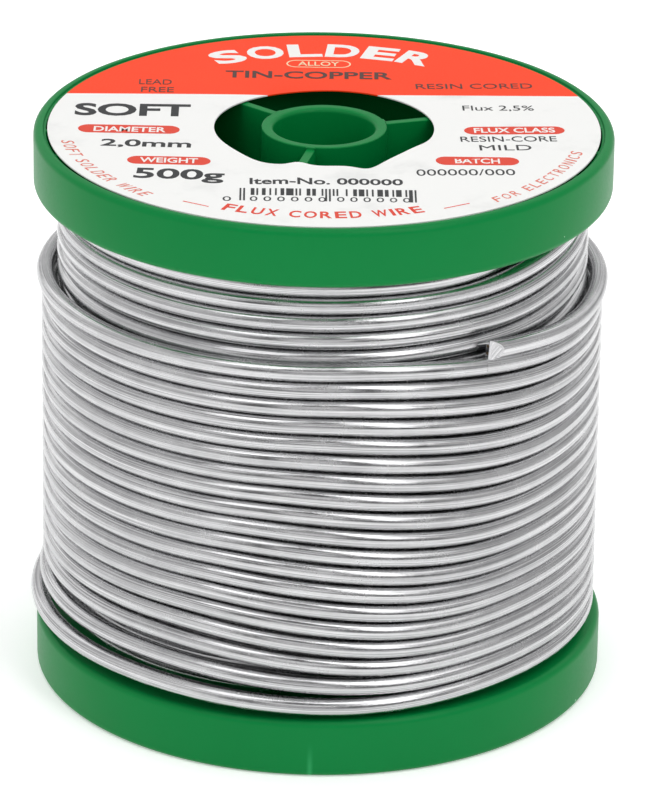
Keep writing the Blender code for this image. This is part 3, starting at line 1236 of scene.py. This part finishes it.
@dataclass
class InnerLayer:
    """One of the six layers below the outer one, followed as it was wound, clockwise from above.

    Odd layers climb and even layers come down. Only the sixth shows, and only its crossings are
    shaped turn by turn.
    """

    number: int
    bottom_deg: float = 150.0
    top_deg: float = -30.0
    top_level: float = 55.3
    bottom_level: float = 7.6
    pitch: float = 2.0
    turns: int = 23
    climb_deg: float = 36.0
    crossing_width: float = 62.0
    top_crossing_deg: float = -32.0
    crossing_drift: float = 4.0
    drift_turns: int = 5

    def length_deg(self) -> float:
        """The whole winding angle of the layer."""
        return 360.0 * self.turns + 180.0

    def level(self, travel: float) -> float:
        """The wire's height after a winding angle from the layer's start."""
        if self.number == 6:
            angle = self.top_deg - travel
            height = self.top_level
            for crossing in range(1, self.turns + 1):
                drift = self.crossing_drift * min(crossing, self.drift_turns)
                middle = -360.0 * crossing + self.top_crossing_deg + drift
                height -= self.pitch * smoothstep((middle - angle) / self.crossing_width + 0.5)
            return height
        share = travel / self.length_deg()
        if self.number % 2:
            return self.bottom_level + share * (self.top_level - self.bottom_level)
        return self.top_level + share * (self.bottom_level - self.top_level)

    def at(self, travel: float) -> RoutePoint:
        """The place after a winding angle from the layer's start."""
        start_deg = self.bottom_deg if self.number % 2 == 1 else self.top_deg
        radius = SIZES.layer_radii[self.number - 1]
        if self.number > 1:
            below = SIZES.layer_radii[self.number - 2]
            radius = below + (radius - below) * smoothstep(travel / self.climb_deg)
        return RoutePoint(radius, start_deg - travel, self.level(travel))


@dataclass
class Winding:
    """All the wire on the spool, made in stretches that meet end to end.

    Each detail gives the step along the wire in degrees and the number of sides of its round section.
    """

    finish: DrawnSolder
    outer: OuterLayer = field(default_factory=OuterLayer)
    free_end_deg: float = 22.0
    top_turn_deg: float = 359.0
    bottom_turn_deg: float = 350.0
    hidden_detail: tuple[float, int] = (6.0, 8)
    sixth_detail: tuple[float, int] = (2.25, 12)
    outer_detail: tuple[float, int] = (1.5, 16)
    sharp_deg: float = 50.0
    laid: float = 0.0
    material: bpy.types.Material | None = None

    def strand(self, name: str, points: Sequence[RoutePoint], sides: int) -> bpy.types.Mesh:
        """Makes one stretch of round wire with closed ends and a UV map in millimetres.

        Args:
            name: the mesh's name.
            points: the wire's centre line.
            sides: how many sides its round section has.

        Returns:
            The mesh; its U runs on from the stretch made before it.
        """
        curve = bpy.data.curves.new(name, "CURVE")
        curve.dimensions = "3D"
        curve.bevel_depth = mm(SIZES.wire_radius)
        curve.bevel_resolution = (sides - 4) // 2
        curve.use_fill_caps = True
        spline = curve.splines.new("POLY")
        spline.points.add(len(points) - 1)
        places = [point.position() for point in points]
        for point, place in zip(spline.points, places):
            point.co = (*place, 1.0)
        helper = link(name, curve)
        bpy.context.view_layer.update()
        mesh = finished_mesh(helper)
        bpy.data.objects.remove(helper)
        length = sum((end - start).length for start, end in zip(places, places[1:])) * 1000.0
        around = 2.0 * math.pi * SIZES.wire_radius
        for loop in mesh.uv_layers[0].data:
            loop.uv = (self.laid + loop.uv.x * length, loop.uv.y * around)
        bm = bmesh_of(mesh)
        bmesh.ops.remove_doubles(bm, verts=bm.verts, dist=mm(MERGE_MM))
        bpy.data.meshes.remove(mesh)
        self.laid += length
        finished = mesh_from(name, bm, self.sharp_deg)
        finished.materials.append(self.material)
        return finished

    @staticmethod
    def route(
        at: Callable[[float], RoutePoint], start: float, end: float, step: float
    ) -> list[RoutePoint]:
        """Places along a layer from one winding angle to another, at even steps."""
        count = max(2, round(abs(end - start) / step))
        return [at(start + (end - start) * i / count) for i in range(count + 1)]

    def build_inner(self) -> None:
        """Winds the six layers below the outer one."""
        for number in range(1, 7):
            layer = InnerLayer(number)
            step, sides = self.sixth_detail if number == 6 else self.hidden_detail
            points = self.route(layer.at, 0.0, layer.length_deg(), step)
            name = f"wound_wire_layer_{number}"
            settle(link(name, self.strand(name, points, sides)), "solder_wire", f"wire_layer_{number}")

    def build_outer(self) -> None:
        """Winds the outer layer: its bulging lowest turn, its close turns and its slack top turn."""
        whole = self.outer.length_deg()
        marks = (whole, whole - self.bottom_turn_deg, self.top_turn_deg, self.free_end_deg)
        names = ("lowest_outer_turn", "wound_wire_layer_7", "slack_top_turn")
        nodes = ("wire_bottom_turn", "wire_layer_7", "wire_top_turn")
        step, sides = self.outer_detail
        for name, node, start, end in zip(names, nodes, marks, marks[1:]):
            points = self.route(self.outer.at, start, end, step)
            settle(link(name, self.strand(name, points, sides)), "solder_wire", node)

    def build(self) -> None:
        """Winds the wire from the barrel outwards and cuts its free end."""
        self.material = self.finish.material()
        self.build_inner()
        self.build_outer()
        FreeEnd(self).build()
        LOG.info("wire wound: %.2f m", self.laid / 1000.0)


@dataclass
class FreeEnd:
    """The wire's free end, pinched off by cutters, with two flux cores open at the cut."""

    winding: Winding
    facet_length: float = 1.45
    spread: float = 0.1
    outer_blade: float = 0.08
    inner_blade: float = 0.45
    core_radius: float = 0.17
    core_length: float = 2.6
    core_recess: float = 0.02
    core_sides: int = 16
    bore_allowance: float = 0.03
    bore_length: float = 3.0
    bore_overshoot: float = 0.5
    core_spacing: float = 0.8
    core_lean: float = -0.19
    burr_length: float = 1.9
    burr_radius: float = 0.16
    burr_tip_radius: float = 0.05
    burr_place: tuple[float, float, float] = (-0.3, -0.1, 0.86)
    burr_sides: int = 8
    detail: tuple[float, int] = (0.75, 24)
    sharp_deg: float = 30.0

    def tip_frame(self) -> Matrix:
        """The cut end's frame: +X out of the wire's tip, +Y away from the spool's axis."""
        tip = self.winding.outer.at(0.0)
        behind = self.winding.outer.at(2.0)
        along = (tip.position() - behind.position()).normalized()
        angle = math.radians(tip.angle_deg)
        outward = Vector((math.cos(angle), math.sin(angle), 0.0))
        outward = (outward - along * outward.dot(along)).normalized()
        turn = Matrix((along, outward, along.cross(outward))).transposed().to_4x4()
        return Matrix.Translation(tip.position()) @ turn

    def pinch(self, bm: bmesh.types.BMesh, place: Matrix) -> None:
        """Cuts the two slanted facets that the cutters leave, one outside and one inside."""
        inverse = place.inverted()
        for vert in bm.verts:
            local = inverse @ vert.co
            nearness = smoothstep(1.0 + local.x * 1000.0 / (2.0 * self.facet_length))
            local.z *= 1.0 + self.spread * nearness
            vert.co = place @ local
        for side, blade in ((1.0, self.outer_blade), (-1.0, self.inner_blade)):
            slope = (SIZES.wire_radius - blade) / self.facet_length
            edge = place @ Vector((0.0, mm(blade) * side, 0.0))
            normal = (place.to_3x3() @ Vector((slope, side, 0.0))).normalized()
            cut = bmesh.ops.bisect_plane(
                bm,
                geom=bm.verts[:] + bm.edges[:] + bm.faces[:],
                dist=1e-8,
                plane_co=edge,
                plane_no=normal,
                clear_outer=True,
            )
            rim = [item for item in cut["geom_cut"] if isinstance(item, bmesh.types.BMEdge)]
            bmesh.ops.holes_fill(bm, edges=rim, sides=0)
        bmesh.ops.recalc_face_normals(bm, faces=bm.faces)

    def rod(
        self, place: Matrix, index: int, radius: float, length: float, beyond: float
    ) -> bmesh.types.BMesh:
        """Makes a round rod along one of the wire's two cores.

        Args:
            place: the cut end's frame.
            index: the core, 0 or 1.
            radius: the rod's radius.
            length: how far it runs into the wire.
            beyond: how far it stands out beyond the cut, or less than 0 where it ends inside.

        Returns:
            The closed rod.
        """
        bm = bmesh.new()
        across = self.core_spacing * (index - 0.5)
        along = beyond - 0.5 * (length + beyond)
        middle = Matrix.Translation((mm(along), mm(self.core_lean), mm(across)))
        bmesh.ops.create_cone(
            bm,
            cap_ends=True,
            segments=self.core_sides,
            radius1=mm(radius),
            radius2=mm(radius),
            depth=mm(length + beyond),
            matrix=place @ middle @ Matrix.Rotation(math.pi / 2, 4, "Y"),
        )
        return bm

    def burr(self, place: Matrix) -> bmesh.types.BMesh:
        """The sliver of metal that the cutters drew out at the top of the cut."""
        bm = bmesh.new()
        along, outward, up = self.burr_place
        middle = Matrix.Translation((mm(0.5 * self.burr_length + along), mm(outward), mm(up)))
        bmesh.ops.create_cone(
            bm,
            cap_ends=True,
            segments=self.burr_sides,
            radius1=mm(self.burr_radius),
            radius2=mm(self.burr_tip_radius),
            depth=mm(self.burr_length),
            matrix=place @ middle @ Matrix.Rotation(math.pi / 2, 4, "Y"),
        )
        return bm

    def build(self) -> None:
        """Makes the free end, bores it for the flux and puts the flux in."""
        winding = self.winding
        step, sides = self.detail
        points = winding.route(winding.outer.at, winding.free_end_deg, 0.0, step)
        place = self.tip_frame()
        bm = bmesh_of(winding.strand("cut_free_end", points, sides))
        self.pinch(bm, place)
        sliver = mesh_from("sliver", self.burr(place))
        piece = link("cut_free_end", mesh_from("cut_free_end", bm, self.sharp_deg))
        bores = []
        for index in range(2):
            radius = self.core_radius + self.bore_allowance
            bore = self.rod(place, index, radius, self.bore_length, self.bore_overshoot)
            bores.append(link("bore", mesh_from("bore", bore)))
        bm = bmesh_of(cut_away(piece, bores))
        bm.from_mesh(sliver)
        piece.data = mesh_from("cut_free_end", bm, self.sharp_deg)
        piece.data.materials.append(winding.material)
        settle(piece, "solder_wire", "wire_free_end")
        resin = FluxResin().material()
        for index in range(2):
            name = f"flux_core_{index + 1}_resin"
            rod = self.rod(place, index, self.core_radius, self.core_length, -self.core_recess)
            core = link(name, mesh_from(name, rod))
            core.data.materials.append(resin)
            settle(core, "flux", f"flux_core_{index + 1}")


# ---- studio ----------------------------------------------------------------------------------------


@dataclass(frozen=True)
class Softbox:
    """A large flat light that faces the spool.

    It hangs in a direction round the spool and above the table, at a distance in metres, with a
    width and a height in metres and a radiance.
    """

    name: str
    azimuth_deg: float
    elevation_deg: float
    distance: float
    size: tuple[float, float]
    radiance: float

    def centre(self) -> Vector:
        """Where its middle is, in metres."""
        azimuth, elevation = math.radians(self.azimuth_deg), math.radians(self.elevation_deg)
        level = math.cos(elevation)
        direction = Vector((level * math.cos(azimuth), level * math.sin(azimuth), math.sin(elevation)))
        return self.distance * direction


@dataclass
class Studio:
    """A white table under soft light, and the camera."""

    distance: float = 0.63286
    elevation_deg: float = 22.8294
    roll_deg: float = 0.7428
    lens: float = 257.72
    aim_height: float = 0.0315
    shift: tuple[float, float] = (0.0072875, -0.0076125)
    softboxes: tuple[Softbox, ...] = (
        Softbox("left_wall", -180.0, 29.0, 1.0, (2.7, 1.05), 0.66),
        Softbox("right_wall", 8.0, 29.0, 1.0, (1.9, 1.05), 0.46),
        Softbox("back_wall", 90.0, 27.0, 1.2, (2.1, 1.1), 0.55),
        Softbox("front_panel", -92.0, 24.0, 1.3, (0.66, 0.78), 0.75),
        Softbox("key_strip", -54.0, 50.0, 1.0, (0.24, 1.0), 3.1),
        Softbox("right_high_panel", -33.0, 62.0, 1.0, (0.5, 0.7), 1.15),
        Softbox("left_high_panel", -127.0, 62.0, 1.0, (0.4, 0.6), 2.2),
        Softbox("top_panel", 90.0, 68.0, 1.0, (1.2, 1.0), 0.85),
    )
    world_grey: float = 0.12
    table_colour: str = "fcfcfc"
    table_size: float = 4.0
    table_roughness: float = 0.9
    table_gloss: float = 0.1
    table_glow: float = 0.3

    def add_camera(self) -> None:
        """Places the camera level with the spool's middle, looking slightly down."""
        tilt = math.radians(self.elevation_deg)
        forward = Vector((0.0, math.cos(tilt), -math.sin(tilt)))
        right = Vector((1.0, 0.0, 0.0))
        up = right.cross(forward)
        roll = math.radians(self.roll_deg)
        rolled_right = right * math.cos(roll) + up * math.sin(roll)
        rolled_up = up * math.cos(roll) - right * math.sin(roll)
        turn = Matrix((rolled_right, rolled_up, -forward)).transposed().to_4x4()
        data = bpy.data.cameras.new("studio_camera")
        data.lens = self.lens
        data.shift_x, data.shift_y = self.shift
        camera = link("studio_camera", data)
        position = Vector((0.0, 0.0, self.aim_height)) - forward * self.distance
        camera.matrix_world = Matrix.Translation(position) @ turn
        bpy.context.scene.camera = camera

    def add_floor(self) -> None:
        """Lays the pale table top."""
        bm = bmesh.new()
        bmesh.ops.create_grid(bm, x_segments=1, y_segments=1, size=self.table_size)
        floor = link("table_top", mesh_from("table_top", bm))
        material, _, shader = new_material("white_table_top")
        shader.inputs["Base Color"].default_value = linear(self.table_colour)
        shader.inputs["Roughness"].default_value = self.table_roughness
        shader.inputs["Specular IOR Level"].default_value = self.table_gloss
        shader.inputs["Emission Color"].default_value = (1.0, 1.0, 1.0, 1.0)
        shader.inputs["Emission Strength"].default_value = self.table_glow
        floor.data.materials.append(material)
        floor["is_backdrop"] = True

    def add_light(self, box: Softbox) -> None:
        """Hangs one softbox, whose power follows from its radiance and size."""
        data = bpy.data.lights.new(box.name, "AREA")
        data.shape = "RECTANGLE"
        data.size, data.size_y = box.size
        data.energy = box.radiance * math.pi * box.size[0] * box.size[1]
        light = link(box.name, data)
        centre = box.centre()
        facing = centre.to_track_quat("Z", "Y").to_matrix().to_4x4()
        light.matrix_world = Matrix.Translation(centre) @ facing

    def build(self) -> None:
        """Sets up the whole studio."""
        self.add_camera()
        self.add_floor()
        for box in self.softboxes:
            self.add_light(box)
        bpy.context.scene.view_settings.view_transform = "Standard"
        world = bpy.data.worlds.new("studio_surroundings")
        world.use_nodes = True
        background = world.node_tree.nodes["Background"]
        background.inputs["Color"].default_value = (self.world_grey,) * 3 + (1.0,)
        bpy.context.scene.world = world


# ---- everything --------------------------------------------------------------------------------------


def corners(bounds: Iterable[Vector]) -> list[list[float]]:
    """A box's two corners as plain lists of numbers."""
    return [[round(value, 6) for value in corner] for corner in bounds]


def main() -> None:
    """Builds the studio, the spool, its label and its wire, in that order."""
    logging.basicConfig(level=logging.INFO, format="%(name)s: %(message)s")
    Studio().build()
    SpoolBody().build(MouldedPolystyrene())
    label = TopLabel()
    label.build(CoatedPaper())
    LabelPrint(label).build()
    Winding(DrawnSolder()).build()
    {"cad": corners(CAD_BOUNDS), "visual": corners(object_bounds())}


if __name__ == "__main__":
    main()
